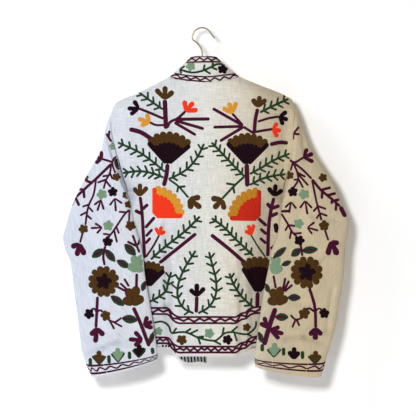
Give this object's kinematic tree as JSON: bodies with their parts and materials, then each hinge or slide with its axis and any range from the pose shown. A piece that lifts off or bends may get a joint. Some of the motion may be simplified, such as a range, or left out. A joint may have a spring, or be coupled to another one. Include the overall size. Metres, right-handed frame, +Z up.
{
  "type": "suzani jacket on a clothes hanger",
  "caption": "Long-sleeved, open-fronted cotton jacket with embroidered panels and band collar, hung by its shoulders on a slim wire-hook hanger.",
  "frame": {"origin": "underside of the crown of the hanger's hook, where a nail, rail or wall hook holds it", "axes": "+Z up, +Y out of the jacket's open front, +X to the right of someone who looks at its back"},
  "size_m": [0.6543, 0.0815, 0.8031],
  "materials": {
    "slub_cotton": "cream slub-woven cotton, matte",
    "band_cotton": "cream slub-woven cotton with close embroidery, matte",
    "striped_cotton": "black and white striped cotton, matte",
    "champagne_wire": "champagne-coloured metal wire, satin",
    "hanger_bar": "plain pale wood, satin",
    "embroidery_thread": "chain-stitched cotton thread in plum, brown, green, red and mustard"
  },
  "bodies": {
    "root": {"back_panel": "slub_cotton", "front_left": "slub_cotton", "front_right": "slub_cotton", "sleeve_left": "slub_cotton", "sleeve_right": "slub_cotton", "collar": "band_cotton", "front_band_left": "band_cotton", "front_band_right": "band_cotton", "hem_facing_left": "striped_cotton", "hanger_hook": "champagne_wire", "hanger_bar": "hanger_bar"}
  },
  "joints": []
}
